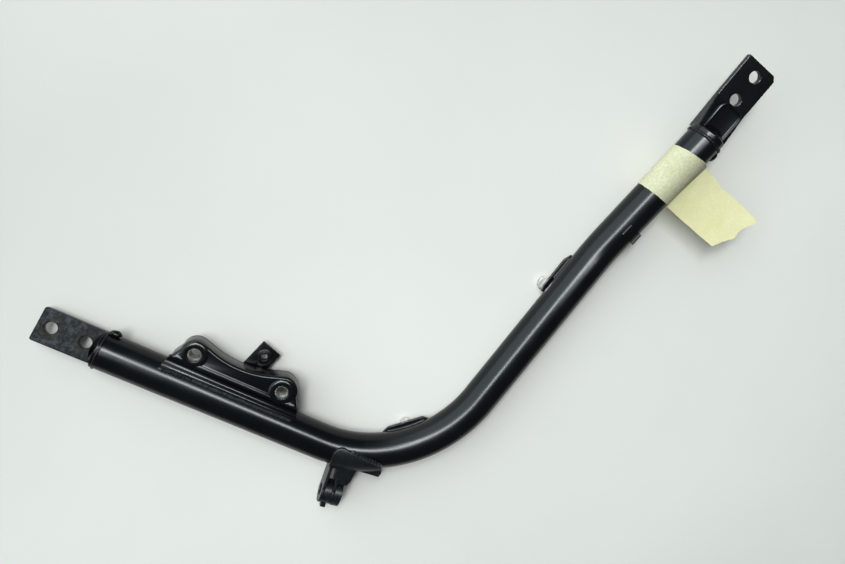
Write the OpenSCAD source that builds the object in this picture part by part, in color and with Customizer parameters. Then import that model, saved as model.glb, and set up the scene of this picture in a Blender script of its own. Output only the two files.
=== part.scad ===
// Removable motorcycle subframe: a bent steel tube with bolting lugs at both ends and welded brackets.
// Origin: centre of the rear lug's two holes, half way through the tongue. +X runs along the lower leg
// towards the bend, +Y to the inside of the bend, +Z up. Millimetres.

/* [Tube] */
// Outside diameter of the frame tube
tube_d = 34; // [32:0.5:36]
// Wall of the frame tube
tube_wall = 2.6; // [2:0.1:3.6]
// Straight lower leg, from the tube's rear mouth to the bend
leg_1 = 210; // [206:1:240]
// Centreline radius of the main bend
bend_r = 126; // [118:1:140]
// Angle of the main bend
bend_turn = 79; // [72:1:86]
// Straight upper leg between the two bends
leg_2 = 174; // [165:1:200]
// Centreline radius of the slight upper bend
kink_r = 150; // [130:5:200]
// Angle of the slight upper bend, out of the plane of the main bend
kink_turn = 10; // [4:1:14]
// Straight end above the upper bend
leg_3 = 127; // [122:1:150]

/* [Rear lug] */
// Distance between the rear lug's two holes
rear_gap = 30; // [28:0.5:36]
// Diameter of the rear lug's holes
rear_hole_d = 11; // [9:0.5:13]
// From the outer hole's centre to the lug's end
rear_end = 11.5; // [10:0.5:16]
// From the inner hole's centre to the tube's mouth
rear_root = 15; // [14:0.5:22]
// Width of the rear tongue
rear_w = 31; // [28:0.5:33]
// Thickness of the rear tongue
rear_t = 8; // [6:0.5:10]
// Height of the tongue's upper face over the tube's axis
rear_face = -3; // [-4:0.5:0]
// Turn of the rear tongue about the tube's axis
rear_turn = 12; // [0:1:18]

/* [Front lug] */
// Distance between the front lug's two holes
front_gap = 25; // [24:0.5:30]
// Diameter of the front lug's holes
front_hole_d = 11; // [9:0.5:13]
// From the outer hole's centre to the lug's end
front_end = 11.5; // [10:0.5:16]
// From the inner hole's centre to the tube's mouth
front_root = 44; // [42:0.5:52]
// Width of the front tongue
front_w = 36; // [32:0.5:38]
// Thickness of the front tongue
front_t = 6; // [5:0.5:8]
// Height of the front tongue's upper face over the tube's axis
front_face = -3; // [-4:0.5:-1]
// Thickness of the forging where it meets the tube
front_base_t = 17; // [14:0.5:20]
// Turn of the front lug towards the inside of the bend
front_turn = 3.5; // [0:0.5:6]
// Side of the weld-on pad above the front lug's root
pad_l = 30; // [26:1:32]
// Width of that pad
pad_w = 26; // [22:1:28]
// Height of the pad's upper face over the tube's axis
pad_top = 7; // [6.5:0.5:9]

/* [Control bracket] */
// From the tube's rear mouth to the middle of the two bosses
bracket_x = 113.5; // [110:0.5:120]
// Distance between the two threaded bosses
boss_gap = 83; // [78:0.5:86]
// Height of the bosses beside the tube's axis
boss_y = 34; // [32:0.5:38]
// Outside diameter of a boss
boss_d = 19; // [17:0.5:20]
// Diameter of a boss's threaded hole, to the thread's crests
boss_hole_d = 10; // [8:0.5:11]
// Length of a boss
boss_l = 18; // [15:0.5:20]
// How far a boss stands over the bracket's face
boss_proud = 1.2; // [0.6:0.2:2]
// Sheet thickness of the control bracket
bracket_t = 3; // [2.5:0.5:3.5]
// Drop from the tube's highest line to the bracket's face
bracket_drop = 2; // [1:0.5:3]
// Drop from the bracket's face to its welding flange
bracket_step = 3.5; // [2:0.5:4]
// Depth of the skirt turned down along the free edge
skirt_h = 19; // [16:1:22]
// Radius of the bracket's outline around the rear boss
ear_r1 = 12.5; // [12.5:0.5:14]
// Radius of the bracket's outline around the front boss
ear_r2 = 14.5; // [13:0.5:16]
// Radius of the hollow sweep between the bosses
sweep_r = 86; // [80:1:95]

/* [Nut tab] */
// Width of the square nut tab
tab_w = 20; // [17:0.5:22]
// From the tube's axis to the tab's end
tab_l = 63.5; // [60:0.5:70]
// Sheet thickness of the tab
tab_t = 3; // [2:0.5:3]
// Lean of the tab along the tube
tab_lean = 16.5; // [10:0.5:18]
// Diameter of the tab's nut
tab_nut_d = 14; // [12:0.5:15]
// Diameter of the nut's hole
tab_hole_d = 6; // [5:0.5:8]

/* [Pivot bracket] */
// Bend angle at which the pivot bracket sits
pivot_at = 13; // [11:1:15]
// From the tube's axis to the pivot's axis
pivot_reach = 46; // [44:0.5:50]
// Diameter of the pivot's hole
pivot_hole_d = 11; // [8:0.5:12]
// Radius of the ears' rounded ends
pivot_r = 12; // [11:0.5:13]
// Sheet thickness of the pivot bracket
pivot_t = 3; // [2.5:0.5:3.5]
// Thickness of the collar between the ears
collar_t = 7; // [5:0.5:8]
// Thickness of the nut on the inner ear
pivot_nut_t = 7; // [4:0.5:8]

/* [Small guides] */
// Bend angle at which the bend's guide plate sits
bend_plate_at = 42; // [38:1:44]
// Length of the bend's guide plate
bend_plate_l = 54; // [48:1:58]
// How far the free edge of either guide plate stands beyond the tube's side
plate_over = 1.5; // [0.5:0.5:3]
// Sheet thickness of the guide plates
plate_t = 3; // [2:0.5:3.5]
// Height of the guide plates' upper face over the tube's lowest line
plate_up = 8; // [7:0.5:9]
// From the bend to the upper leg's guide plate
side_plate_x = 122; // [115:1:125]
// Length of the upper leg's guide plate
side_plate_l = 46; // [40:1:50]
// Diameter of the stud under the bend's plate
bend_stud_d = 10; // [9:0.5:11]
// Diameter of the stud under the upper leg's plate
side_stud_d = 13; // [12:0.5:14]
// From the upper bend to the cable clip
clip_x = 12; // [8:1:24]
// Length of the cable clip
clip_l = 12; // [10:0.5:14]

/* [Welds and tag] */
// Radius of the large weld beads
bead_r = 3; // [2:0.25:3.5]
// From the tube's front mouth to the tag's nearer edge
tag_back = 18; // [16:1:22]
// Width of the tag's tape
tag_w = 51; // [40:1:52]
// Length of the tag's free flag
flag_l = 83; // [50:1:90]
// Thickness of the tape as wrapped
tape_t = 0.5; // [0.4:0.1:0.8]

/* [Hidden] */
$fn = 120;
tube_r = tube_d / 2;
bore_r = tube_r - tube_wall;
plug_gap = 0.1;
bracket_face = tube_r - bracket_drop;
plate_reach = tube_r + plate_over;
plate_down = tube_r - plate_up;
// depth of the nut tab's upper face under the tube's axis, and the corners of the rear tongue
tab_down = 8;
rear_corner = 2;
mouth_x = rear_gap / 2 + rear_root;
rear_mid = rear_face - rear_t / 2;
// lean of the pivot's ears against the tube, and where the outer and the inner ear start
pivot_lean = 4;
pivot_x0 = -12;
pivot_x1 = pivot_x0 + pivot_t + collar_t;
// how far beside its axis the tube's skin is at a height
function side_at(z) = sqrt(tube_r * tube_r - z * z);

paint = [0.06, 0.065, 0.07];
bare = [0.62, 0.6, 0.57];
tape = [0.88, 0.86, 0.66];

// frames: x along the tube, y to the inside of the bend, z up
module at_mouth() translate([mouth_x, -rear_mid * sin(rear_turn), -rear_mid * cos(rear_turn)]) children();

module at_bend(a) at_mouth()
    translate([leg_1, bend_r, 0]) rotate([0, 0, a]) translate([0, -bend_r, 0]) children();

module at_leg_2(s) at_bend(bend_turn) translate([s, 0, 0]) children();

module at_leg_3(s) at_leg_2(leg_2)
    translate([0, 0, kink_r]) rotate([0, -kink_turn, 0]) translate([s, 0, -kink_r]) children();

module at_front() at_leg_3(leg_3) rotate([0, 0, front_turn]) children();

module run(r, len) rotate([0, 90, 0]) cylinder(r = r, h = len);

module main_arc(a0, a1) at_mouth()
    translate([leg_1, bend_r, 0]) rotate([0, 0, a0 - 90])
        rotate_extrude(angle = a1 - a0) translate([bend_r, 0]) children();

module kink_arc() at_leg_2(leg_2)
    translate([0, 0, kink_r]) rotate([90, 0, 0]) rotate([0, 0, -90])
        rotate_extrude(angle = kink_turn) translate([kink_r, 0]) children();

// a plan drawn flat and made thick between two heights
module slab(z0, z1) translate([0, 0, z0]) linear_extrude(height = z1 - z0) children();

// a section drawn across the tube and run along it
module along(x0, x1) translate([x0, 0, 0]) rotate([90, 0, 90]) linear_extrude(height = x1 - x0) children();

// a section drawn in the upright plane that holds the tube's axis, made wide
module across(w) rotate([90, 0, 0]) linear_extrude(height = w, center = true) children();

module rounded_end(x0, x1, w, r) {
    translate([x0 + r, -w / 2]) square([x1 - x0 - r, w]);
    translate([x0, -w / 2 + r]) square([r + 1, w - 2 * r]);
    for (s = [-1, 1]) translate([x0 + r, s * (w / 2 - r)]) circle(r = r);
}

module ring_section() difference() {
    circle(r = tube_r);
    circle(r = bore_r);
}

module pipe(len) difference() {
    run(tube_r, len);
    translate([-1, 0, 0]) run(bore_r, len + 2);
}

// the one tube is drawn in three lengths that meet face to face
module lower_tube() color(paint) {
    at_mouth() pipe(leg_1);
    main_arc(0, bend_turn) ring_section();
}

module upper_tube() color(paint) {
    at_leg_2(0) pipe(leg_2);
    kink_arc() ring_section();
}

module top_tube() color(paint) at_leg_3(0) pipe(leg_3);

module rear_lug() color(paint) at_mouth() difference() {
    union() {
        rotate([-rear_turn, 0, 0]) slab(rear_face - rear_t, rear_face)
            rounded_end(-rear_root - rear_gap - rear_end, -2, rear_w, rear_corner);
        translate([-8, 0, 0]) rotate([0, 90, 0]) cylinder(r1 = tube_r - 9, r2 = tube_r, h = 5);
        translate([-3, 0, 0]) run(tube_r, 3);
        run(bore_r - plug_gap, 16);
    }
    rotate([-rear_turn, 0, 0]) for (x = [-rear_root, -rear_root - rear_gap])
        translate([x, 0, -tube_d]) cylinder(d = rear_hole_d, h = 2 * tube_d);
}

module bead_ring(x, r) translate([x, 0, 0]) rotate([0, 90, 0])
    rotate_extrude() intersection() {
        translate([tube_r, 0]) circle(r = r);
        translate([tube_r, -r]) square([r, 2 * r]);
    }

module rear_weld() color(paint) at_mouth() {
    bead_ring(0, bead_r / 3);
    difference() {
        translate([6, tube_r + 2, 2]) sphere(r = bead_r);
        run(tube_r, 20);
    }
}

// side view of the front forging: thick at the tube, thin at the tongue
function front_len() = front_root + front_gap + front_end;

module front_side() polygon([[3, front_face - front_t + (front_base_t - 2)],
    [front_root - 6, front_face], [front_len() + 1, front_face],
    [front_len() + 1, front_face - front_t], [front_root + 6, front_face - front_t],
    [3, front_face - front_t - 2]]);

module front_plan() difference() {
    polygon([[3, -tube_r + 0.5], [front_root, -front_w / 2], [front_len(), -front_w / 2],
        [front_len(), front_w / 2], [front_root, front_w / 2], [3, tube_r - 0.5]]);
    translate([front_len() - 4, -front_w / 2]) rotate([0, 0, -45]) square([20, 20]);
}

module front_body() {
    intersection() {
        across(2 * front_w) front_side();
        slab(-tube_d, tube_d) front_plan();
    }
    translate([5, 0, 0]) rotate([0, 90, 0]) cylinder(r1 = tube_r, r2 = tube_r / 2, h = 7);
    run(tube_r, 5);
    intersection() {
        translate([-6, 0, 0]) run(tube_r, 8);
        rotate([0, 0, -front_turn]) run(tube_r, 8);
    }
}

module front_lug() color(paint) {
    difference() {
        at_front() front_body();
        at_front() for (x = [front_root, front_root + front_gap])
            translate([x, 0, -tube_d]) cylinder(d = front_hole_d, h = 2 * tube_d);
        at_leg_3(leg_3 - 20) run(2 * tube_r, 20);
    }
    at_leg_3(leg_3 - 18) run(bore_r - plug_gap, 18.2);
}

module front_weld() color(paint) at_leg_3(leg_3) difference() {
    union() {
        bead_ring(-bead_r / 3, bead_r / 3);
        translate([-6, -tube_r + 2, 1]) sphere(r = 2 * bead_r);
    }
    translate([-30, 0, 0]) run(tube_r, 30);
}

module pad_plan(d) {
    translate([6 + d, -pad_w / 2 + d]) square([pad_l - 8 - d, pad_w - 2 * d]);
    translate([6 + d, -pad_w / 2 + 8]) square([pad_l - d, pad_w - 16]);
    for (s = [-1, 1]) translate([pad_l - 2, s * (pad_w / 2 - 8)]) circle(r = 8 - d);
}

module front_pad() color(paint) difference() {
    at_front() slab(front_face, pad_top) pad_plan(0);
    at_front() front_body();
}

// outline of the control bracket, drawn d inside its true edge
module bracket_plan(d) difference() {
    union() {
        translate([-boss_gap / 2, boss_y]) circle(r = ear_r1 - d);
        translate([boss_gap / 2, boss_y]) circle(r = ear_r2 - d);
        polygon([[-boss_gap / 2 - 23 + d, 0], [-boss_gap / 2 - 18.5 + d, boss_y - 11],
            [-boss_gap / 2 - ear_r1 + d, boss_y], [-boss_gap / 2, boss_y + ear_r1 - d],
            [boss_gap / 2, boss_y + ear_r2 - d], [boss_gap / 2 + ear_r2 - d, boss_y],
            [boss_gap / 2 + 20 - d, boss_y - 9], [boss_gap / 2 + 27 - d, 0]]);
    }
    translate([-2, boss_y + 5 + sweep_r]) circle(r = sweep_r + d, $fn = 240);
}

// section of the control bracket across the tube: face, step and welding flange
module bracket_section() polygon([[0, bracket_face - bracket_step], [18, bracket_face - bracket_step],
    [25, bracket_face], [boss_y + 30, bracket_face], [boss_y + 30, bracket_face - bracket_t],
    [26, bracket_face - bracket_t], [19, bracket_face - bracket_t - bracket_step],
    [0, bracket_face - bracket_t - bracket_step]]);

module control_bracket() color(paint) at_mouth() difference() {
    translate([bracket_x, 0, 0]) {
        intersection() {
            along(-boss_gap, boss_gap) bracket_section();
            slab(-tube_r, tube_r) bracket_plan(0);
        }
        slab(bracket_face - skirt_h, bracket_face) intersection() {
            difference() {
                bracket_plan(0);
                bracket_plan(bracket_t - 0.5);
            }
            translate([-boss_gap, 26]) square([2 * boss_gap, 60]);
        }
    }
    run(tube_r, leg_1);
    translate([bracket_x, 0, 0]) for (s = [-1, 1])
        translate([s * boss_gap / 2, boss_y, 0]) cylinder(d = boss_d, h = tube_d);
}

module bracket_bosses() color(bare) at_mouth() translate([bracket_x, 0, 0])
    for (s = [-1, 1]) translate([s * boss_gap / 2, boss_y, bracket_face + boss_proud - boss_l])
        difference() {
            cylinder(d = boss_d, h = boss_l);
            translate([0, 0, -1]) cylinder(d = boss_hole_d, h = boss_l + 2);
        }

module bracket_weld() color(paint) at_mouth() difference() {
    translate([bracket_x, 0, 0]) {
        translate([-boss_gap / 2 - 20, side_at(bracket_face - bracket_step) - 1, bracket_face - bracket_step])
            run(bead_r, boss_gap + 40);
    }
    run(tube_r, leg_1);
    translate([bracket_x, 0, 0]) along(-boss_gap, boss_gap) bracket_section();
}

module bracket_end_weld() color(paint) at_mouth() difference() {
    translate([bracket_x - boss_gap / 2 - 10,
        side_at(bracket_face - bracket_step - bracket_t) + 0.5, bracket_face - bracket_step - bracket_t])
            run(bead_r, boss_gap + 20);
    run(tube_r, leg_1);
    translate([bracket_x, 0, 0]) along(-boss_gap, boss_gap) bracket_section();
}

module at_tab() at_mouth() translate([bracket_x, 0, 0]) rotate([0, 0, -tab_lean]) children();

module nut_tab() color(paint) difference() {
    at_tab() translate([-tab_w / 2, 0, -tab_down - tab_t]) cube([tab_w, tab_l, tab_t]);
    at_tab() translate([0, tab_l - tab_w / 2, -tube_d]) cylinder(d = tab_hole_d + 2, h = tube_d);
    at_mouth() run(tube_r, leg_1);
}

module tab_nut() color(paint) at_tab() translate([0, tab_l - tab_w / 2, 0]) difference() {
    union() {
        translate([0, 0, -tab_down]) cylinder(d = tab_nut_d, h = 2);
        translate([0, 0, -tab_down - tab_t]) cylinder(d = tab_hole_d + 2, h = tab_t);
        translate([0, 0, 2 - tab_down]) cylinder(d = tab_nut_d - 4, h = 1.5);
    }
    translate([0, 0, -20]) cylinder(d = tab_hole_d, h = 20);
}

module tab_weld() color(paint) difference() {
    at_tab() translate([-tab_w / 2, side_at(tab_down) - 0.5, -tab_down]) run(bead_r - 0.5, tab_w);
    at_tab() translate([-tab_w, 0, -tab_down - tab_t]) cube([2 * tab_w, tab_l, tab_t]);
    at_mouth() run(tube_r, leg_1);
}

// pivot bracket: a saddle on the tube, two ears across it and a web between them
module ear_plan() {
    translate([-pivot_reach, -pivot_r + 1]) square([pivot_reach - tube_r + 6, 2 * pivot_r - 2]);
    translate([-pivot_reach, 0]) circle(r = pivot_r);
}

module at_ears() at_bend(pivot_at) rotate([0, 0, -pivot_lean]) children();

module ear(x0, x1) translate([x0, 0, 0]) rotate([90, 0, 90]) linear_extrude(height = x1 - x0) ear_plan();

module pivot_axis(x0, x1, d) translate([x0, -pivot_reach, 0]) rotate([0, 90, 0]) cylinder(d = d, h = x1 - x0);

module saddle_plan() polygon([[-15, -30], [-15, 0], [-12, 5.5], [-9, 7.3], [-5, 7.5], [-1, 6], [6, 3.5],
    [16, 1.5], [29, -1.5], [34, -6], [37, -13], [35, -22], [20, -21], [9, -24], [6, -30]]);

module foot_plan() polygon([[-3, -8], [-3, -26], [7, -25], [8, -16.5], [11, -15.6], [16.5, -16.8],
    [27, -18.1], [35, -19.2], [37, -15.3], [36, -8]]);

// the web slopes from the saddle down to the inner ear
module web_plan() polygon([[-5, 4], [-5, -19], [-2, -26], [9, -26], [12, -20], [13, -8], [16, 2]]);

module pivot_bracket() color(paint) difference() {
    union() {
        at_ears() translate([0, 2 - pivot_reach / 5, 14]) rotate([9, 0, 0]) slab(-pivot_t, 0) web_plan();
        intersection() {
            main_arc(1, 32) circle(r = tube_r + pivot_t);
            at_bend(pivot_at) slab(5, tube_d) saddle_plan();
        }
        at_bend(pivot_at) slab(10 - pivot_t, 10) foot_plan();
        at_ears() ear(pivot_x0, pivot_x0 + pivot_t);
        at_ears() ear(pivot_x1, pivot_x1 + pivot_t);
    }
    main_arc(0, bend_turn) circle(r = tube_r);
    at_ears() pivot_axis(pivot_x0 - 5, pivot_x1 + 20, pivot_hole_d);
}

module pivot_collar() color(paint) difference() {
    at_ears() union() {
        pivot_axis(pivot_x0 + pivot_t, pivot_x1, 2 * pivot_r - 1);
        translate([pivot_x0 + pivot_t + 1, -pivot_reach - pivot_r - 3, -1])
            cube([collar_t - 2, pivot_r, 7]);
    }
    at_ears() pivot_axis(pivot_x0, pivot_x1 + 1, pivot_hole_d);
}

module pivot_nut() color(paint) at_ears() difference() {
    pivot_axis(pivot_x1 + pivot_t, pivot_x1 + pivot_t + pivot_nut_t, 2 * pivot_r + 1);
    pivot_axis(pivot_x1, pivot_x1 + pivot_t + pivot_nut_t + 1, pivot_hole_d);
}

module pivot_weld() color(paint) difference() {
    main_arc(pivot_at + 3, pivot_at + 13) translate([-1.5, side_at(1.5) + 0.5]) circle(r = bead_r);
    main_arc(0, bend_turn) circle(r = tube_r);
    intersection() {
        main_arc(1, 32) circle(r = tube_r + pivot_t);
        at_bend(pivot_at) slab(5, tube_d) saddle_plan();
    }
}

// guide plates beside the tube's underside
module bend_plate_plan() polygon([for (s = [-1, 1]) for (p = s < 0 ? [[0, 4], [0, plate_reach - 4],
    [9, plate_reach + 1.5]] : [[9, plate_reach + 1.5], [0, plate_reach - 4], [0, 4]])
        [s * (bend_plate_l / 2 - p.x), p.y]]);

module bend_plate() color(paint) difference() {
    at_bend(bend_plate_at) slab(-plate_down - plate_t, -plate_down) difference() {
        bend_plate_plan();
        translate([0, 20 + bend_r]) circle(r = bend_r - plate_reach + 16, $fn = 360);
    }
    main_arc(0, bend_turn) circle(r = tube_r);
}

// a short solid stud under a guide plate, seen past the plate's edge
module stud(d) translate([0, plate_reach - 1, -tube_r + 1]) cylinder(d = d, h = tube_r - 1 - plate_down - plate_t);

module bend_stud() color(bare) difference() {
    at_bend(bend_plate_at) stud(bend_stud_d);
    main_arc(0, bend_turn) circle(r = tube_r);
}

module bend_weld() color(paint) difference() {
    main_arc(bend_plate_at - 10, bend_plate_at + 10)
        translate([-side_at(plate_down) - 0.5, -plate_down]) circle(r = bead_r - 1);
    main_arc(0, bend_turn) circle(r = tube_r);
    at_bend(bend_plate_at) slab(-plate_down - plate_t, -plate_down) translate([-50, -20]) square([100, 60]);
}

module side_plate() color(paint) difference() {
    at_leg_2(side_plate_x) slab(-plate_down - plate_t, -plate_down)
        polygon([[0, 4], [0, plate_reach - 2], [6, plate_reach], [side_plate_l - 8, plate_reach],
            [side_plate_l, plate_reach - 3], [side_plate_l, 4]]);
    at_leg_2(0) run(tube_r, leg_2);
}

module side_stud() color(bare) difference() {
    at_leg_2(side_plate_x + side_stud_d / 2 + 1) stud(side_stud_d);
    at_leg_2(0) run(tube_r, leg_2);
}

module side_weld() color(paint) difference() {
    at_leg_2(side_plate_x + side_stud_d + 4) translate([0, side_at(plate_down) + 0.5, -plate_down])
        run(bead_r - 1, side_plate_l - side_stud_d - 8);
    at_leg_2(0) run(tube_r, leg_2);
    at_leg_2(side_plate_x) slab(-plate_down - plate_t, -plate_down) square([side_plate_l, 40]);
}

// section of the clip: a thin strap round part of the tube, with a ridge at each of its two edges
module clip_section() difference() {
    union() {
        intersection() {
            circle(r = tube_r + 1.4);
            polygon([[0, 0], [4.2, 40], [-40, 40], [-40, 16.16]]);
        }
        for (a = [84, 158]) rotate([0, 0, a]) translate([tube_r + 0.6, 0]) circle(r = 1.8);
    }
    circle(r = tube_r);
}

module cable_clip() color(paint) at_leg_3(clip_x) along(0, clip_l) clip_section();

module tag_wrap() color(tape) at_leg_3(leg_3 - tag_back - tag_w) difference() {
    run(tube_r + tape_t, tag_w);
    translate([-1, 0, 0]) run(tube_r, tag_w + 2);
}

module tag_flag() color(tape) at_leg_3(leg_3 - tag_back - tag_w) difference() {
    slab(0, tape_t) polygon([[1, -10], [tag_w - 3, -10], [tag_w - 1.5, -tube_r - flag_l],
        [3, -tube_r - flag_l + 16]]);
    translate([-1, 0, 0]) run(tube_r + tape_t, tag_w + 2);
}

lower_tube();
upper_tube();
top_tube();
rear_lug();
rear_weld();
front_lug();
front_weld();
front_pad();
control_bracket();
bracket_bosses();
bracket_weld();
bracket_end_weld();
nut_tab();
tab_nut();
tab_weld();
pivot_bracket();
pivot_collar();
pivot_nut();
pivot_weld();
bend_plate();
bend_stud();
bend_weld();
side_plate();
side_stud();
side_weld();
cable_clip();
tag_wrap();
tag_flag();
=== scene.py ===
"""A black motorcycle subframe lying on a pale floor.

Sizes are in millimetres, as in the part's source. Each piece is modelled in the local frame of what carries
it, x along the tube, y to the inside of the bend and z up, and put_down() then sets it in the row frame in
metres.
"""

import math

import bmesh
import bpy
from mathutils import Matrix, Vector, noise


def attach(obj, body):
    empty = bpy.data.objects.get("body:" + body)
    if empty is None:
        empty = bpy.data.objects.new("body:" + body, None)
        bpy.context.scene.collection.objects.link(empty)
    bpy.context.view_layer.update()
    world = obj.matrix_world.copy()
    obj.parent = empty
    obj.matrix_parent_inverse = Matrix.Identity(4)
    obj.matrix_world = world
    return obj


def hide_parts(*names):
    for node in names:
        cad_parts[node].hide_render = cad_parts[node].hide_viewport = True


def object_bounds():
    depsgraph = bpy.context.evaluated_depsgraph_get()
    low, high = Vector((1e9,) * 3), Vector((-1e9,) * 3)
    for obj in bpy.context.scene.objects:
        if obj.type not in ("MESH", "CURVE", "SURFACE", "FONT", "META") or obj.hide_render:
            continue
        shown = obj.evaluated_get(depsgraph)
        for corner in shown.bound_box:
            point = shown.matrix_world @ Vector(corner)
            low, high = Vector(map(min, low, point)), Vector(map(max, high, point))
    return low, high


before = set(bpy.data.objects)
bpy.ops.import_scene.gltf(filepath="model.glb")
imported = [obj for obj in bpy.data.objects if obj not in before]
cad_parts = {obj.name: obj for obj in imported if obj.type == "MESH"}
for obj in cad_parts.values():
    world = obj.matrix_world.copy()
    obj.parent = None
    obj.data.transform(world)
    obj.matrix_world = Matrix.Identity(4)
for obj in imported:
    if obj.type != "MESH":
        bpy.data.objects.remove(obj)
cad_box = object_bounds()
bpy.ops.object.select_all(action="DESELECT")

MM = 0.001

# the tube, from the part's source
TUBE_R = 17
LEG_1 = 210
BEND_R = 126
BEND_TURN = 79
LEG_2 = 174
KINK_R = 150
KINK_TURN = 10
LEG_3 = 127

# the rear lug
REAR_GAP = 30
REAR_ROOT = 15
REAR_T = 8
REAR_FACE = -3
REAR_TURN = 12

# the front lug
FRONT_TURN = 3.5

# the control bracket
BRACKET_X = 113.5
BOSS_GAP = 83
BOSS_Y = 34
BOSS_R = 9.5
BOSS_HOLE_R = 5
BOSS_L = 18
BOSS_PROUD = 1.2
FACE_Z = 15
SHEET_T = 3
STEP_Z = 3.5
SKIRT = 19
EAR_R1 = 12.5
EAR_R2 = 14.5
SWEEP_R = 86

# the nut tab
TAB_W = 20
TAB_L = 63.5
TAB_T = 3
TAB_LEAN = 16.5
TAB_DOWN = 8

# the tape tag
TAG_BACK = 18
TAG_W = 51


# ---------------------------------------------------------------- places along the tube


def shift(x, y, z):
    return Matrix.Translation((x, y, z))


def turn(degrees, axis):
    return Matrix.Rotation(math.radians(degrees), 4, axis)


REAR_MID = REAR_FACE - REAR_T / 2
MOUTH = shift(
    REAR_GAP / 2 + REAR_ROOT,
    -REAR_MID * math.sin(math.radians(REAR_TURN)),
    -REAR_MID * math.cos(math.radians(REAR_TURN)),
)


def on_bend(angle):
    return MOUTH @ shift(LEG_1, BEND_R, 0) @ turn(angle, "Z") @ shift(0, -BEND_R, 0)


def on_leg_2(along):
    return on_bend(BEND_TURN) @ shift(along, 0, 0)


def on_leg_3(along):
    return on_leg_2(LEG_2) @ shift(0, 0, KINK_R) @ turn(-KINK_TURN, "Y") @ shift(along, 0, -KINK_R)


FRONT = on_leg_3(LEG_3) @ turn(FRONT_TURN, "Z")
TAB = MOUTH @ shift(BRACKET_X, 0, 0) @ turn(-TAB_LEAN, "Z")


# ---------------------------------------------------------------- camera, lights and floor


def add_camera():
    """The camera of the photograph, as fitted to the tube's outline."""
    right = Vector((0.864247, 0.468813, 0.182457))
    up = Vector((-0.436747, 0.879215, -0.190349))
    back = right.cross(up)
    bpy.ops.object.camera_add()
    camera = bpy.context.active_object
    camera.name = "photo_camera"
    turned = Matrix((right, up, back)).transposed().to_4x4()
    camera.matrix_world = shift(0.105369, 0.232993, 0.591763) @ turned
    camera.data.lens = 27.56
    camera.data.sensor_width = 36
    camera.data.clip_start = 0.01
    bpy.context.scene.camera = camera


def add_softbox(name, place, target, width, height, watts, colour):
    """An area light that faces the target."""
    bpy.ops.object.light_add(type="AREA", location=place)
    lamp = bpy.context.active_object
    lamp.name = name
    lamp.data.shape = "RECTANGLE"
    lamp.data.size = width
    lamp.data.size_y = height
    lamp.data.energy = watts
    lamp.data.color = colour
    away = (Vector(place) - Vector(target)).normalized()
    side = Vector((0, 1, 0)).cross(away).normalized()
    lamp.matrix_world = shift(*place) @ Matrix((side, away.cross(side), away)).transposed().to_4x4()
    return lamp


def light_the_room():
    """A dim room, pale towards the photograph's left, and two strip lights overhead.

    The strip along the lower leg shows in reflections only, so that it leaves the other lights' shadows alone.
    """
    bpy.context.scene.view_settings.view_transform = "Standard"
    bpy.context.scene.view_settings.look = "Medium High Contrast"
    world = bpy.data.worlds.new("pale_room")
    bpy.context.scene.world = world
    world.use_nodes = True
    nodes, links = world.node_tree.nodes, world.node_tree.links
    nodes.clear()
    where = nodes.new("ShaderNodeTexCoord")
    facing = nodes.new("ShaderNodeVectorMath")
    facing.operation = "DOT_PRODUCT"
    facing.inputs[1].default_value = Vector((-0.93, 0.16, 0.30)).normalized()
    ramp = nodes.new("ShaderNodeValToRGB")
    glow = nodes.new("ShaderNodeBackground")
    out = nodes.new("ShaderNodeOutputWorld")
    links.new(where.outputs["Generated"], facing.inputs[0])
    links.new(facing.outputs["Value"], ramp.inputs["Fac"])
    ramp.color_ramp.interpolation = "EASE"
    ramp.color_ramp.elements[0].position = 0.42
    ramp.color_ramp.elements[0].color = (0.055, 0.06, 0.063, 1)
    ramp.color_ramp.elements[1].position = 0.92
    ramp.color_ramp.elements[1].color = (0.88, 0.99, 1.0, 1)
    links.new(ramp.outputs["Color"], glow.inputs["Color"])
    glow.inputs["Strength"].default_value = 2.0
    links.new(glow.outputs["Background"], out.inputs["Surface"])
    middle = (0.24, 0.16, 0)
    along = add_softbox("strip_along_the_leg", (0.22, 0.72, 1.6), middle, 0.95, 0.30, 17, (0.93, 0.99, 1))
    along.visible_diffuse = False
    add_softbox("strip_across", (-0.40, 0.47, 1.6), middle, 0.28, 1.25, 19, (0.93, 0.99, 1))


def add_floor(height):
    bpy.ops.mesh.primitive_plane_add(size=8, location=(0.24, 0.2, height))
    floor = bpy.context.active_object
    floor.name = "pale_floor"
    floor.data.materials.append(pale_floor())


# ---------------------------------------------------------------- finishes


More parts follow.
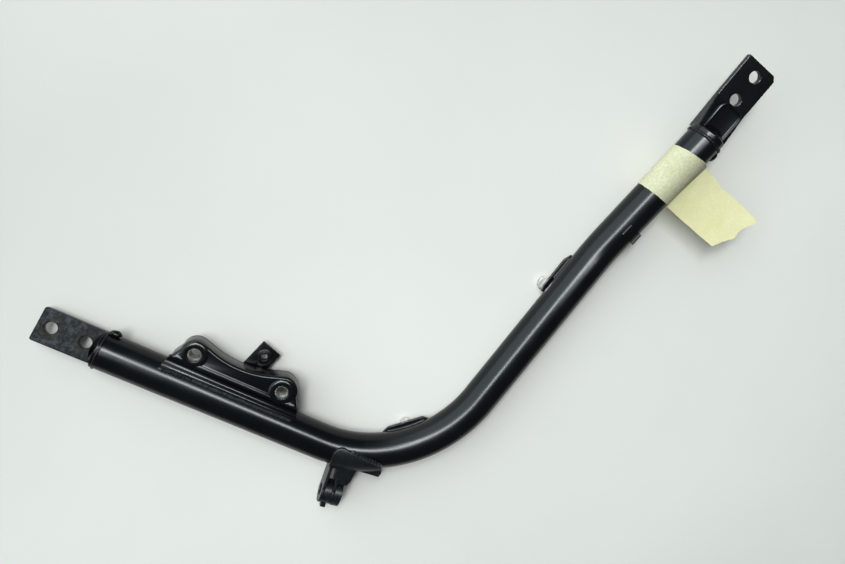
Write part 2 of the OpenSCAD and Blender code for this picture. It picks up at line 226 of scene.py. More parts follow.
class Finish:
    """A material whose Principled shader is fed by noises on Object coordinates."""

    def __init__(self, name, **sockets):
        self.material = bpy.data.materials.new(name)
        self.material.use_nodes = True
        self.nodes = self.material.node_tree.nodes
        self.links = self.material.node_tree.links
        self.shader = self.nodes["Principled BSDF"]
        self.where = self.nodes.new("ShaderNodeTexCoord").outputs["Object"]
        for socket, value in sockets.items():
            self.shader.inputs[socket.replace("_", " ")].default_value = value

    def stretched(self, scale, angles):
        node = self.nodes.new("ShaderNodeMapping")
        node.inputs["Scale"].default_value = scale
        node.inputs["Rotation"].default_value = angles
        self.links.new(self.where, node.inputs["Vector"])
        return node.outputs["Vector"]

    def noise(self, scale, detail=3, rough=0.55, vector=None):
        node = self.nodes.new("ShaderNodeTexNoise")
        node.inputs["Scale"].default_value = scale
        node.inputs["Detail"].default_value = detail
        node.inputs["Roughness"].default_value = rough
        self.links.new(vector or self.where, node.inputs["Vector"])
        return node.outputs["Fac"]

    def specks(self, scale, size):
        node = self.nodes.new("ShaderNodeTexVoronoi")
        node.inputs["Scale"].default_value = scale
        self.links.new(self.where, node.inputs["Vector"])
        return self.ramp(node.outputs["Distance"], [(0.0, 1.0), (size, 0.0)])

    def ramp(self, value, stops):
        """stops are (position, grey) or (position, colour)."""
        node = self.nodes.new("ShaderNodeValToRGB")
        points = node.color_ramp.elements
        while len(points) < len(stops):
            points.new(0.5)
        for point, (position, tone) in zip(points, stops):
            point.position = position
            point.color = (tone, tone, tone, 1) if isinstance(tone, (int, float)) else (*tone, 1)
        self.links.new(value, node.inputs["Fac"])
        return node.outputs["Color"]

    def maths(self, operation, a, b):
        node = self.nodes.new("ShaderNodeMath")
        node.operation = operation
        for socket, value in zip(node.inputs, (a, b)):
            if isinstance(value, (int, float)):
                socket.default_value = value
            else:
                self.links.new(value, socket)
        return node.outputs["Value"]

    def mix(self, amount, a, b, blend="MIX"):
        node = self.nodes.new("ShaderNodeMix")
        node.data_type = "RGBA"
        node.blend_type = blend
        for socket, value in (("Factor", amount), ("A", a), ("B", b)):
            entry = next(s for s in node.inputs if s.name == socket and s.enabled)
            if isinstance(value, (int, float)):
                entry.default_value = value if socket == "Factor" else (value, value, value, 1)
            elif isinstance(value, tuple):
                entry.default_value = (*value, 1)
            else:
                self.links.new(value, entry)
        return next(s for s in node.outputs if s.enabled)

    def close_to(self, place, radius, fade):
        """1 inside the radius round a point in metres, falling to 0 over the fade."""
        node = self.nodes.new("ShaderNodeVectorMath")
        node.operation = "DISTANCE"
        self.links.new(self.where, node.inputs[0])
        node.inputs[1].default_value = place
        fall = self.maths("SUBTRACT", radius + fade, node.outputs["Value"])
        share = self.maths("DIVIDE", fall, fade)
        return self.ramp(share, [(0.0, 0.0), (1.0, 1.0)])

    def facing(self, direction, low, high):
        """1 on faces that look along the direction or straight against it."""
        node = self.nodes.new("ShaderNodeVectorMath")
        node.operation = "DOT_PRODUCT"
        self.links.new(self.nodes.new("ShaderNodeNewGeometry").outputs["Normal"], node.inputs[0])
        node.inputs[1].default_value = direction
        return self.ramp(self.maths("ABSOLUTE", node.outputs["Value"], 0), [(low, 0.0), (high, 1.0)])

    def short_of(self, limit, fade):
        """1 up to a place along x in metres, falling to 0 over the fade."""
        node = self.nodes.new("ShaderNodeSeparateXYZ")
        self.links.new(self.where, node.inputs[0])
        share = self.maths("DIVIDE", self.maths("SUBTRACT", limit + fade, node.outputs["X"]), fade)
        return self.ramp(share, [(0.0, 0.0), (1.0, 1.0)])

    def along(self, direction):
        """How far a point lies along a direction."""
        node = self.nodes.new("ShaderNodeVectorMath")
        node.operation = "DOT_PRODUCT"
        self.links.new(self.where, node.inputs[0])
        node.inputs[1].default_value = direction
        return node.outputs["Value"]

    def bump(self, heights, strength, distance):
        node = self.nodes.new("ShaderNodeBump")
        node.inputs["Strength"].default_value = strength
        node.inputs["Distance"].default_value = distance
        self.links.new(heights, node.inputs["Height"])
        self.links.new(node.outputs["Normal"], self.shader.inputs["Normal"])

    def feed(self, socket, value):
        self.links.new(value, self.shader.inputs[socket])


def black_paint(name, low, high, rough, haze_scale):
    """Sprayed black with a haze of dust between two tones, a little orange peel and a few specks."""
    paint = Finish(name, Metallic=0.0, IOR=1.5, Specular_IOR_Level=0.4)
    haze = paint.noise(haze_scale, detail=6, rough=0.6)
    tone = paint.ramp(haze, [(0.32, low), (0.72, high)])
    dusty = paint.maths("MULTIPLY", paint.specks(300, 0.07), 0.07)
    tone = paint.mix(dusty, tone, (0.16, 0.16, 0.15))
    paint.feed("Base Color", tone)
    paint.feed("Roughness", paint.ramp(haze, [(0.25, rough), (0.8, rough + 0.07)]))
    paint.bump(paint.noise(220, detail=2), 0.05, 0.0002)
    return paint.material


def worn_lug_paint():
    """Gloss black, worn dull and mottled on the tongue's clamped faces, with a little rust at the holes."""
    paint = Finish("worn_lug_paint", Metallic=0.0, IOR=1.5, Specular_IOR_Level=0.2)
    blotches = paint.noise(210, detail=9, rough=0.74)
    grains = paint.noise(800, detail=5, rough=0.7)
    tones = [(0.41, (0.0015, 0.002, 0.003)), (0.5, (0.010, 0.012, 0.014)), (0.58, (0.050, 0.056, 0.062))]
    tone = paint.ramp(blotches, tones)
    tone = paint.mix(paint.ramp(grains, [(0.50, 0.0), (0.72, 0.6)]), tone, (0.056, 0.062, 0.068))
    for x in (REAR_GAP / 2, -REAR_GAP / 2):
        ring = paint.close_to((x * MM, 0, 0.003), 6.6 * MM, 4.0 * MM)
        ring = paint.maths("MULTIPLY", ring, paint.ramp(blotches, [(0.35, 0.1), (0.65, 0.7)]))
        tone = paint.mix(ring, tone, (0.042, 0.027, 0.017))
    lean = math.radians(REAR_TURN)
    flat_side = paint.facing((0, math.sin(lean), math.cos(lean)), 0.955, 0.995)
    clamped = paint.maths("MULTIPLY", flat_side, paint.short_of(0.0222, 0.002))
    paint.feed("Base Color", paint.mix(clamped, (0.0045, 0.0055, 0.0065), tone))
    paint.feed("Roughness", paint.mix(clamped, 0.2, paint.ramp(grains, [(0.3, 0.42), (0.7, 0.68)])))
    paint.bump(paint.maths("MULTIPLY", clamped, paint.mix(0.4, blotches, grains)), 0.7, 0.0007)
    return paint.material


def bare_steel(name="bare_steel", share=1.0, rusty=0.60):
    """Bare plated steel: grey-white, faintly turned, with rust in patches."""
    steel = Finish(name, Metallic=1.0)
    cloud = steel.noise(260, detail=6, rough=0.65)
    dark, light, rust_tone = (
        tuple(share * c for c in colour) for colour in ((0.42, 0.41, 0.39), (0.66, 0.65, 0.62), (0.26, 0.11, 0.045))
    )
    tone = steel.ramp(cloud, [(0.3, dark), (0.6, light)])
    rust = steel.ramp(steel.noise(330, detail=8, rough=0.75), [(rusty, 0.0), (rusty + 0.12, 0.8)])
    tone = steel.mix(rust, tone, rust_tone)
    steel.feed("Base Color", tone)
    steel.feed("Roughness", steel.ramp(cloud, [(0.3, 0.30), (0.7, 0.52)]))
    steel.bump(steel.noise(1500, detail=3), 0.2, 0.0001)
    return steel.material


def crepe_tape(name, light, dark, mottle):
    """Pale crepe paper tape: fine wrinkles across it, with painted shade in their valleys, blotched where it has
    soaked.
    """
    paper = Finish(name, Roughness=0.85)
    wide = paper.noise(60, detail=5)
    blots = paper.noise(520, detail=6, rough=0.7)
    crepe = paper.noise(420, detail=6, rough=0.7, vector=paper.stretched((1.0, 3.0, 1.0), (0, 0, 0.9)))
    tone = paper.ramp(wide, [(0.3, light), (0.75, dark)])
    tone = paper.mix(paper.ramp(blots, [(0.42, mottle), (0.60, 0.0)]), tone, tuple(0.66 * c for c in dark))
    # painted shade: darker where the crepe's bump is low, in the wrinkles' valleys
    tone = paper.mix(paper.ramp(crepe, [(0.36, 0.22), (0.60, 0.0)]), tone, tuple(0.72 * c for c in dark))
    paper.feed("Base Color", tone)
    paper.bump(crepe, 0.5, 0.0005)
    return paper.material


def pale_floor():
    """A plain pale painted floor, faintly mottled, with painted shade that makes it a little darker to one side to
    even out the light.
    """
    floor = Finish("pale_floor", Roughness=0.62)
    cloud = floor.noise(3.5, detail=5)
    tone = floor.ramp(cloud, [(0.3, (0.732, 0.708, 0.668)), (0.7, (0.772, 0.742, 0.698))])
    # painted shade: the floor's colour darkens towards one side, standing in for dimmer light there
    painted_shade_drift = floor.ramp(floor.maths("ADD", floor.along((1.4, -1.0, 0)), 0.5), [(0.10, 0.76), (0.75, 1.0)])
    floor.feed("Base Color", floor.mix(1.0, tone, painted_shade_drift, "MULTIPLY"))
    floor.bump(floor.noise(260, detail=4), 0.05, 0.0004)
    return floor.material


# ---------------------------------------------------------------- modelling by hand


def work_on(piece):
    bpy.ops.object.select_all(action="DESELECT")
    piece.select_set(True)
    bpy.context.view_layer.objects.active = piece


def edit(piece):
    work_on(piece)
    bpy.ops.object.mode_set(mode="EDIT")


def leave():
    bpy.ops.object.mode_set(mode="OBJECT")


def choose(kind, test):
    """In edit mode, selects only the verts, edges or faces that pass the test."""
    bpy.ops.mesh.select_mode(type=kind)
    bpy.ops.mesh.select_all(action="DESELECT")
    mesh = bmesh.from_edit_mesh(bpy.context.edit_object.data)
    parts = {"VERT": mesh.verts, "EDGE": mesh.edges, "FACE": mesh.faces}[kind]
    chosen = [part for part in parts if test(part)]
    for part in chosen:
        part.select_set(True)
    mesh.select_flush_mode()
    bmesh.update_edit_mesh(bpy.context.edit_object.data)


def named(name):
    piece = bpy.context.active_object
    piece.name = name
    piece.data.name = name
    return piece


def apply(piece, kind, **settings):
    """Adds a modifier, sets it and applies it."""
    work_on(piece)
    modifier = piece.modifiers.new(kind.lower(), kind)
    for key, value in settings.items():
        setattr(modifier, key, value)
    bpy.ops.object.modifier_apply(modifier=modifier.name)


def boolean(piece, tool, operation):
    apply(piece, "BOOLEAN", object=tool, operation=operation, solver="MANIFOLD")
    bpy.data.objects.remove(tool)


def put_down(piece, place, finish, nodes=(), smooth=35):
    """Sets a piece modelled in millimetres into the row frame, gives it its finish and hides the CAD nodes it
    stands in for.
    """
    work_on(piece)
    piece.matrix_world = Matrix.Scale(MM, 4) @ place
    bpy.ops.object.transform_apply(location=True, rotation=True, scale=True)
    settle(piece, finish, nodes, smooth)
    return piece


def settle(piece, finish, nodes=(), smooth=35):
    work_on(piece)
    bpy.ops.object.shade_smooth_by_angle(angle=math.radians(smooth))
    piece.data.materials.clear()
    piece.data.materials.append(finish)
    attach(piece, "root")
    if nodes:
        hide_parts(*nodes)


def softened(node, name, voxel, rounds, strength=0.5):
    """A copy of a CAD node whose edges are rounded as a forging's or a pressing's are."""
    piece = bpy.data.objects.new(name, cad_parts[node].data.copy())
    bpy.context.scene.collection.objects.link(piece)
    edit(piece)
    bpy.ops.mesh.select_all(action="SELECT")
    bpy.ops.mesh.remove_doubles(threshold=0.00001)
    leave()
    apply(piece, "REMESH", mode="VOXEL", voxel_size=voxel * MM, use_smooth_shade=True)
    apply(piece, "SMOOTH", iterations=rounds, factor=strength)
    return piece


# ---------------------------------------------------------------- drawing outlines and spun sections


def outline(name, points):
    """A flat face drawn point by point: one corner is set down and pushed along the outline."""
    bpy.ops.mesh.primitive_plane_add(size=1, location=points[0])
    piece = named(name)
    bpy.ops.object.transform_apply(location=True)
    edit(piece)
    bpy.ops.mesh.select_mode(type="VERT")
    bpy.ops.mesh.select_all(action="SELECT")
    bpy.ops.mesh.merge(type="CENTER")
    here = Vector(points[0])
    for point in points[1:]:
        step = Vector(point) - here
        bpy.ops.mesh.extrude_region_move(TRANSFORM_OT_translate={"value": step})
        here = Vector(point)
    bpy.ops.mesh.select_all(action="SELECT")
    bpy.ops.mesh.edge_face_add()
    leave()
    return piece


def slab(name, plan, low, high):
    """A plan drawn at one height and pushed up to another."""
    piece = outline(name, [(x, y, low) for x, y in plan])
    edit(piece)
    bpy.ops.mesh.select_all(action="SELECT")
    bpy.ops.mesh.extrude_region_move(TRANSFORM_OT_translate={"value": (0, 0, high - low)})
    face_outwards()
    leave()
    return piece


def face_outwards():
    bpy.ops.mesh.select_all(action="SELECT")
    bpy.ops.mesh.remove_doubles(threshold=0.001)
    bpy.ops.mesh.normals_make_consistent(inside=False)


def spun(name, section, centre=(0, 0), steps=72):
    """A closed section of (radius, height) points spun about an upright axis through the centre."""
    cx, cy = centre
    piece = outline(name, [(cx + radius, cy, height) for radius, height in section])
    edit(piece)
    bpy.ops.mesh.select_all(action="SELECT")
    bpy.ops.mesh.delete(type="ONLY_FACE")
    bpy.ops.mesh.select_all(action="SELECT")
    bpy.ops.mesh.spin(steps=steps, angle=math.radians(360), center=(cx, cy, 0), axis=(0, 0, 1))
    face_outwards()
    leave()
    return piece


def rod(name, radius, start, end, sides=64):
    """A round bar from one point to another."""
    start, end = Vector(start), Vector(end)
    run = end - start
    bpy.ops.mesh.primitive_cylinder_add(vertices=sides, radius=radius, depth=run.length)
    piece = named(name)
    piece.matrix_world = shift(*((start + end) / 2)) @ run.to_track_quat("Z", "X").to_matrix().to_4x4()
    work_on(piece)
    bpy.ops.object.transform_apply(location=True, rotation=True)
    return piece


def block(name, low, high):
    low, high = Vector(low), Vector(high)
    bpy.ops.mesh.primitive_cube_add(size=1, location=(low + high) / 2, scale=high - low)
    piece = named(name)
    bpy.ops.object.transform_apply(location=True, scale=True)
    return piece


def soften_edges(piece, width, segments=3, degrees=35):
    apply(
        piece, "BEVEL", width=width, segments=segments, limit_method="ANGLE",
        angle_limit=math.radians(degrees), harden_normals=False, miter_outer="MITER_ARC",
    )


def join(piece, *others):
    work_on(piece)
    for other in others:
        other.select_set(True)
    bpy.ops.object.join()
    return piece


def arc(centre, radius, start, end, steps):
    """Points on an arc, angles in degrees."""
    angles = [math.radians(start + (end - start) * i / steps) for i in range(steps + 1)]
    return [(centre[0] + radius * math.cos(a), centre[1] + radius * math.sin(a)) for a in angles]


def bead(name, points, radius, pitch=2.3, depth=0.16, seed=0.0, across=None):
    """A weld bead along a line of points: overlapping ripples of slightly uneven width."""
    points = [Vector(p) for p in points]
    length = sum((b - a).length for a, b in zip(points, points[1:]))
    steps = max(12, int(length / 0.42))
    bpy.ops.mesh.primitive_circle_add(vertices=20, radius=radius)
    piece = named(name)
    bm = bmesh.new()
    rims = []
    for i in range(steps + 1):
        at, ahead = along_line(points, length * i / steps)
        side = across or ahead.cross(Vector((0, 0, 1))).normalized()
        over = side.cross(ahead).normalized()
        run = length * i / steps
        end = min(1.0, math.sqrt(max(0.02, min(run, length - run) / (1.2 * radius))))
        ripple = 1 - depth * (run / pitch % 1.0) + 0.10 * noise.noise(Vector((run * 0.21, seed, 3.1)))
        wander = 0.22 * radius * noise.noise(Vector((run * 0.13, seed + 7.0, 1.7)))
        rims.append(
            [
                bm.verts.new(
                    at
                    + side * (wander + radius * end * ripple * math.cos(math.tau * k / 20))
                    + over * (radius * end * ripple * math.sin(math.tau * k / 20))
                )
                for k in range(20)
            ]
        )
    for a, b in zip(rims, rims[1:]):
        for k in range(20):
            bm.faces.new((a[k], a[(k + 1) % 20], b[(k + 1) % 20], b[k]))
    bm.faces.new(rims[0][::-1])
    bm.faces.new(rims[-1])
    bm.to_mesh(piece.data)
    bm.free()
    edit(piece)
    face_outwards()
    leave()
    return piece


def along_line(points, run):
    """The point at a run along a line of points, and the direction there."""
    for a, b in zip(points, points[1:]):
        step = (b - a).length
        if run <= step or b is points[-1]:
            return a + (b - a) * min(1.0, run / step), (b - a).normalized()
        run -= step


def lump(name, place, radii, seed, uneven=0.16):
    """A drop of weld, stretched and uneven."""
    bpy.ops.mesh.primitive_ico_sphere_add(subdivisions=4, radius=1, location=place, scale=radii)
    drop = named(name)
    bpy.ops.object.transform_apply(location=True, scale=True)
    for vert in drop.data.vertices:
        out = vert.co - Vector(place)
        vert.co += out * uneven * noise.noise(vert.co * 0.45 + Vector((seed, 0, 0)))
    return drop


# ---------------------------------------------------------------- the control bracket


def bracket_plan():
    """The bracket's outline from its welded side round both bosses."""
    half = BOSS_GAP / 2
    top_1, top_2 = BOSS_Y + EAR_R1, BOSS_Y + EAR_R2
    centre = (-2, BOSS_Y + 5 + SWEEP_R)
    start = math.degrees(math.atan2(top_1 + 0.1 - centre[1], -37.6 - centre[0]))
    end = math.degrees(math.atan2(top_2 - 0.1 - centre[1], 37.1 - centre[0]))
    points = [(-half - 23, 8), (-half - 18.5, BOSS_Y - 11)]
    points += arc((-half, BOSS_Y), EAR_R1, 180, 80, 20)
    points += arc(centre, SWEEP_R, start + 5, end - 5, 28)
    points += arc((half, BOSS_Y), EAR_R2, 98, 0, 20)
    points += [(half + 20, BOSS_Y - 9), (half + 26, 8)]
    return points


def sheet_height(y):
    """How far the pressed sheet lies below its face: a low ridge, the step down and the lip beside the tube."""

    def eased(start, end):
        share = min(1.0, max(0.0, (start - y) / (start - end)))
        return share * share * (3 - 2 * share)

    return -0.8 * eased(28.6, 25.8) + (STEP_Z + 1.4) * eased(25.0, 19.0) - 2.0 * eased(18.0, 13.5)


def make_bracket(paint, metal, bead_paint):
    """A pressed sheet: its face is stepped down to the weld, its free edge is turned down into a skirt."""
    place = MOUTH @ shift(BRACKET_X, 0, 0)
    piece = outline("control_pressing", [(x, y, FACE_Z) for x, y in bracket_plan()])
    edit(piece)
    for i in range(31):
        bpy.ops.mesh.select_all(action="SELECT")
        bpy.ops.mesh.bisect(plane_co=(0, 13.3 + 0.5 * i, 0), plane_no=(0, 1, 0))
    choose("EDGE", lambda e: e.is_boundary and min(v.co.y for v in e.verts) > 25.2)
    bpy.ops.mesh.extrude_region_move(TRANSFORM_OT_translate={"value": (0, 0, -SKIRT)})
    choose(
        "EDGE",
        lambda e: len(e.link_faces) == 2 and e.calc_face_angle(0) > 1.0 and e.verts[0].co.z > FACE_Z - 0.1,
    )
    bpy.ops.mesh.bevel(offset=2.6, segments=5, clamp_overlap=True)
    mesh = bmesh.from_edit_mesh(piece.data)
    for vert in mesh.verts:
        vert.co.z -= sheet_height(vert.co.y)
    bmesh.update_edit_mesh(piece.data)
    bpy.ops.mesh.select_all(action="SELECT")
    bpy.ops.mesh.remove_doubles(threshold=0.01)
    bpy.ops.mesh.normals_make_consistent(inside=False)
    leave()
    face = max(piece.data.polygons, key=lambda f: f.area)
    inwards = -1 if face.normal.z > 0 else 1
    apply(piece, "SOLIDIFY", thickness=SHEET_T, offset=inwards, use_even_offset=True)
    edit(piece)
    face_outwards()
    leave()
    for side in (-1, 1):
        centre = (side * BOSS_GAP / 2, BOSS_Y)
        boolean(piece, rod("boss_cutter", BOSS_R - 0.2, (*centre, -10), (*centre, 20)), "DIFFERENCE")
    boolean(piece, rod("tube_cutter", TUBE_R - 0.05, (-100, 0, 0), (100, 0, 0), sides=128), "DIFFERENCE")
    soften_edges(piece, 0.5, 2, 50)
    put_down(piece, place, paint, ("control_bracket",))

    bosses, threads = [], []
    top = FACE_Z + BOSS_PROUD
    low = top - BOSS_L
    for side in (-1, 1):
        centre = (side * BOSS_GAP / 2, BOSS_Y)
        section = [
            (BOSS_HOLE_R + 0.9, low + 0.6), (BOSS_HOLE_R + 1.4, low), (BOSS_R - 0.6, low), (BOSS_R, low + 0.6),
            (BOSS_R, FACE_Z - SHEET_T - 0.4), (BOSS_R + 2.6, FACE_Z - SHEET_T + 0.4), (BOSS_R + 2.7, FACE_Z - 0.3),
            (BOSS_R + 2.2, FACE_Z + 0.25), (BOSS_R + 1.2, FACE_Z + 0.75), (BOSS_R + 0.3, top - 0.12),
            (BOSS_R - 0.5, top), (BOSS_HOLE_R + 1.7, top), (BOSS_HOLE_R + 0.9, top - 0.8),
        ]
        bosses.append(spun("boss", section, centre))
        groove = []
        pitch = 1.5
        turns = int((BOSS_L - 2.0) / pitch)
        for i in range(turns + 1):
            crest = low + 1.0 + pitch * i
            groove += [(BOSS_HOLE_R, crest), (BOSS_HOLE_R + 0.75, crest + 0.5 * pitch)]
        section = [(BOSS_HOLE_R + 0.95, low + 0.4), *groove[:-1], (BOSS_HOLE_R + 0.95, top - 0.5)]
        threads.append(spun("boss_thread", section, centre, 48))
    named_bosses = join(*bosses)
    named_bosses.name = "boss_pair"
    soften_edges(named_bosses, 0.25, 2, 40)
    put_down(named_bosses, place, paint, ("bracket_bosses",))
    put_down(join(*threads), place, metal)

    beside = math.sqrt(TUBE_R**2 - (FACE_Z - STEP_Z) ** 2)
    start = [(-64, beside - 3.2, 13.3), (-50, beside - 1.8, 13.1), (-32, beside - 1.4, 13.0)]
    rest = [(-36, beside - 1.5, 12.8), (20, beside - 1.5, 12.5), (63, beside - 0.8, 12.0)]
    thick = bead("flange_bead", start, 2.9, 3.2, 0.42)
    thin = bead("flange_bead_end", rest, 2.2, 2.4, 0.24, 4)
    put_down(join(thick, thin), place, bead_paint, ("bracket_weld",), smooth=50)


# ---------------------------------------------------------------- the nut tab


def make_nut_tab(paint):
    """A plain strap from the tube with a round weld nut on it."""
    strap = block("nut_strap", (-TAB_W / 2, 10, -TAB_DOWN - TAB_T), (TAB_W / 2, TAB_L, -TAB_DOWN))
    boolean(strap, rod("nut_cutter", 4, (0, TAB_L - TAB_W / 2, -20), (0, TAB_L - TAB_W / 2, 0)), "DIFFERENCE")
    boolean(strap, rod("tube_cutter", TUBE_R - 0.1, (-60, 17, 0), (60, -17, 0), sides=96), "DIFFERENCE")
    soften_edges(strap, 0.5, 3, 50)
    put_down(strap, TAB, paint, ("nut_tab",))
    low = -TAB_DOWN - TAB_T
    section = [
        (3.0, low + 0.3), (3.4, low), (4.05, low), (4.05, -TAB_DOWN - 0.1), (7.0, -TAB_DOWN - 0.1), (7.0, -6.7),
        (6.7, -6.2), (6.2, -6.0), (5.2, -6.0), (4.9, -5.8), (4.7, -4.9), (4.4, -4.55), (3.5, -4.5), (3.0, -5.0),
    ]
    nut = spun("tab_weld_nut", section, (0, TAB_L - TAB_W / 2), 64)
    soften_edges(nut, 0.15, 2, 30)
    put_down(nut, TAB, paint, ("tab_nut",))


# ---------------------------------------------------------------- the lugs and the pivot


def ring(radius, at, steps=72):
    """Points round the tube at a place along it, from the inside of the bend."""
    angles = [math.radians(360 * i / steps) for i in range(steps + 1)]
    return [(at, radius * math.cos(a), radius * math.sin(a)) for a in angles]


def make_rear_lug(worn, paint):
    """The forged tongue, with the hollow ground into its cone, and the weld round the tube's mouth."""
    lug = softened("rear_lug", "rear_forging", 0.45, 4)
    bpy.ops.mesh.primitive_uv_sphere_add(
        segments=64, ring_count=32, radius=1, scale=(3.0, 9.0, 6.0), location=(-5.2, -3.0, 14.0)
    )
    hollow = named("hollow_cutter")
    bpy.ops.object.transform_apply(location=True, scale=True)
    hollow.matrix_world = Matrix.Scale(MM, 4) @ MOUTH
    boolean(lug, hollow, "DIFFERENCE")
    settle(lug, worn, ("rear_lug",), smooth=50)
    seam = bead("rear_ring", ring(TUBE_R - 0.1, 0), 1.1, 2.2, 0.12, across=Vector((1, 0, 0)))
    drop = lump("rear_drop", (5.6, TUBE_R + 2.2, 2), (5.0, 2.8, 3.2), 2.0)
    put_down(join(seam, drop), MOUTH, paint, ("rear_weld",), smooth=50)


def make_front_lug(paint):
    """The forged front lug with its welded pad, whose edge stands up as a rim, and the weld at the tube."""
    settle(softened("front_lug", "front_forging", 0.5, 5), paint, ("front_lug",))
    plan = [(6, -13), *arc((28, -5), 8, -90, 0, 8), *arc((28, 5), 8, 0, 90, 8), (6, 13)]
    pad = slab("front_pad_pressing", plan, -3, 7)
    edit(pad)
    choose("FACE", lambda f: f.normal.z > 0.9)
    bpy.ops.mesh.inset(thickness=1.7, depth=0.5)
    bpy.ops.mesh.inset(thickness=1.2, depth=-1.6)
    leave()
    soften_edges(pad, 0.5, 3, 30)
    put_down(pad, FRONT, paint, ("front_pad",))
    seam = bead("front_ring", ring(TUBE_R + 0.1, -1), 1.5, 2.4, 0.2, across=Vector((1, 0, 0)))
    drop = lump("front_drop", (-6, -TUBE_R + 2, 1), (6.2, 6.0, 6.0), 5.0, 0.1)
    put_down(join(seam, drop), on_leg_3(LEG_3), paint, ("front_weld",), smooth=50)


def make_pivot(paint, bead_paint):
    """The pivot's pressing, collar and nut, and the weld along its saddle."""
    settle(softened("pivot_bracket", "pivot_pressing", 0.4, 6), paint, ("pivot_bracket",))
    for node in ("pivot_collar", "pivot_nut"):
        settle(softened(node, node + "_piece", 0.3, 4), paint, (node,))
    to_mouth = MOUTH.inverted()
    upper_edge = ((13.5, 108), (16, 103.5), (18, 98), (20.3, 92), (23.4, 83), (26, 75), (27.6, 66))
    out = Vector((0, -19.6, 0))
    line = [to_mouth @ on_bend(round_bend) @ turn(-up, "X") @ out for round_bend, up in upper_edge]
    seam = bead("saddle_bead", line, 2.5, 3.2, 0.44, 9)
    put_down(seam, MOUTH, bead_paint, ("pivot_weld",), smooth=50)


# ---------------------------------------------------------------- the tube


def spin_round(centre, axis, degrees, steps):
    """In edit mode, spins the selected rim about an axis."""
    bpy.ops.mesh.spin(
        steps=steps, angle=math.radians(degrees), center=centre, axis=axis,
        use_normal_flip=False, use_auto_merge=False,
    )


def make_tube(paint):
    """One pipe: a rim run along the lower leg, spun round the bend, run on, spun up and run to the front."""
    bpy.ops.mesh.primitive_circle_add(vertices=96, radius=TUBE_R, rotation=(0, math.radians(90), 0))
    tube = named("bent_tube")
    bpy.ops.object.transform_apply(rotation=True)
    edit(tube)
    bpy.ops.mesh.select_all(action="SELECT")
    bpy.ops.mesh.extrude_region_move(TRANSFORM_OT_translate={"value": (LEG_1, 0, 0)})
    spin_round((LEG_1, BEND_R, 0), (0, 0, -1), BEND_TURN, 60)
    to_mouth = MOUTH.inverted()
    ahead = (to_mouth @ on_leg_2(0)).to_3x3() @ Vector((1, 0, 0))
    bpy.ops.mesh.extrude_region_move(TRANSFORM_OT_translate={"value": ahead * LEG_2})
    turned = to_mouth @ on_leg_2(LEG_2)
    spin_round(turned @ Vector((0, 0, KINK_R)), turned.to_3x3() @ Vector((0, 1, 0)), KINK_TURN, 10)
    ahead = (to_mouth @ on_leg_3(0)).to_3x3() @ Vector((1, 0, 0))
    bpy.ops.mesh.extrude_region_move(TRANSFORM_OT_translate={"value": ahead * LEG_3})
    bpy.ops.mesh.edge_face_add()
    choose("VERT", lambda v: abs(v.co.x) < 0.001)
    bpy.ops.mesh.edge_face_add()
    bpy.ops.mesh.select_all(action="SELECT")
    bpy.ops.mesh.remove_doubles(threshold=0.001)
    bpy.ops.mesh.normals_make_consistent(inside=False)
    leave()
    return put_down(tube, MOUTH, paint, ("lower_tube", "upper_tube", "top_tube"))


# ---------------------------------------------------------------- the paper tape


def between(table, at):
    """A value read off a table of (place, value)."""
    for (a, low), (b, high) in zip(table, table[1:]):
        if at <= b:
            return low + (high - low) * (at - a) / (b - a)
    return table[-1][1]


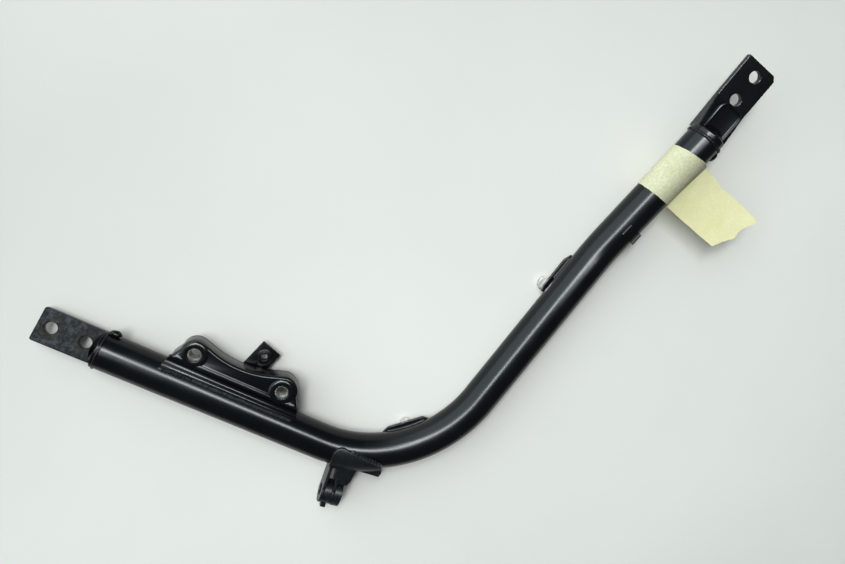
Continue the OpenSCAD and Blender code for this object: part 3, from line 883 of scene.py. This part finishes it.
def make_tape(wrap_paper_with_painted_shade, flag_paper):
    """A strip of tape round the tube, drawn together at the crease, and its doubled ends as a torn flag."""
    place = on_leg_3(LEG_3 - TAG_BACK - TAG_W)
    bpy.ops.mesh.primitive_grid_add(x_subdivisions=48, y_subdivisions=200, size=1)
    wrap = named("tape_wrap")
    for vert in wrap.data.vertices:
        u, v = vert.co.x + 0.5, vert.co.y + 0.5
        round_it = 0.012 + (math.tau - 0.024) * v
        near = 0.5 + 0.5 * math.cos(round_it)
        low, high = 0.5 + 1.7 * near, 47.8 + 5.0 * near
        ruffle = noise.noise(Vector((3.1 * round_it, 4.0 * u, 0.5)))
        skin = TUBE_R + 0.22 + 0.16 * abs(ruffle) + 0.05 * noise.noise(Vector((14 * round_it, 20 * u, 2)))
        crease = 18.6 + 3.4 * u
        free = math.acos(min(0.999, (TUBE_R + 0.3) / crease))
        from_crease = min(round_it, math.tau - round_it)
        radius = skin / math.cos(max(0.0, free - from_crease))
        along = low + (high - low) * u + 0.35 * ruffle
        vert.co = (along, -radius * math.cos(round_it), radius * math.sin(round_it))
    apply(wrap, "SOLIDIFY", thickness=0.22, offset=0)
    put_down(wrap, place, wrap_paper_with_painted_shade, ("tag_wrap",), smooth=60)

    torn = ((0, 84), (0.2, 88.5), (0.43, 95.6), (0.52, 94.6), (0.63, 93.8), (0.8, 97.0), (0.93, 100), (1, 98.5))
    side = ((18, 52.0), (34, 51.2), (48, 49.6), (52, 49.3), (55, 50.6), (92, 50.8), (101, 50.0))
    bpy.ops.mesh.primitive_grid_add(x_subdivisions=64, y_subdivisions=96, size=1)
    flag = named("tape_flag")
    for vert in flag.data.vertices:
        u, v = vert.co.x + 0.5, vert.co.y + 0.5
        root = 18.6 + 3.4 * u - 0.4
        ragged = 0.7 * noise.noise(Vector((22 * u, 3, 1))) + 0.35 * noise.noise(Vector((70 * u, 8, 1)))
        end = between(torn, u) + ragged
        out = root + (end - root) * v
        low = 2.2 + 1.9 * v + 0.25 * noise.noise(Vector((9 * v, 5, 2)))
        along = low + (between(side, out) - low) * u
        curl = 2.6 * v * v * (0.3 + u) - 1.4 * math.sin(math.pi * v) + 1.1 * v * math.sin(2.6 * u + 2.2 * v)
        curl += 0.30 * noise.noise(Vector((0.09 * along, 0.09 * out, 6)))
        vert.co = (along, -out, curl)
    apply(flag, "SOLIDIFY", thickness=0.4, offset=0)
    put_down(flag, place, flag_paper, ("tag_flag",), smooth=60)


# ---------------------------------------------------------------- the scene

add_camera()
gloss = black_paint("gloss_black_paint", (0.0028, 0.0038, 0.0046), (0.0058, 0.0072, 0.0084), 0.21, 30)
dusty = black_paint("dusty_black_paint", (0.010, 0.012, 0.0135), (0.050, 0.054, 0.056), 0.30, 380)
dull = black_paint("dull_black_paint", (0.0055, 0.007, 0.008), (0.020, 0.023, 0.025), 0.32, 380)
worn = worn_lug_paint()
steel = bare_steel()
# One tape in two copies: the copy on the tube has darker tones than the flag's, painted shade; its heavier blotches
# are soaking.
tape_on_tube_with_painted_shade = crepe_tape("tape_on_tube_with_painted_shade", (0.585, 0.565, 0.40), (0.515, 0.49, 0.325), 0.45)
tape_flag = crepe_tape("tape_flag", (0.79, 0.74, 0.46), (0.75, 0.69, 0.39), 0.12)

light_the_room()
add_floor(cad_box[0][2])
make_tube(gloss)

make_bracket(gloss, bare_steel("bore_steel", 0.7, 0.52), dusty)
make_nut_tab(gloss)

make_rear_lug(worn, gloss)
make_front_lug(gloss)
make_pivot(dull, dusty)
for node, voxel in (
    ("bend_plate", 0.3), ("side_plate", 0.3), ("cable_clip", 0.25), ("tab_weld", 0.25), ("bend_weld", 0.25),
    ("side_weld", 0.25), ("bracket_end_weld", 0.35),
):
    settle(softened(node, node + "_piece", voxel, 4), gloss, (node,))
for node in ("bend_stud", "side_stud"):
    settle(softened(node, node + "_piece", 0.25, 4), steel, (node,))
make_tape(tape_on_tube_with_painted_shade, tape_flag)
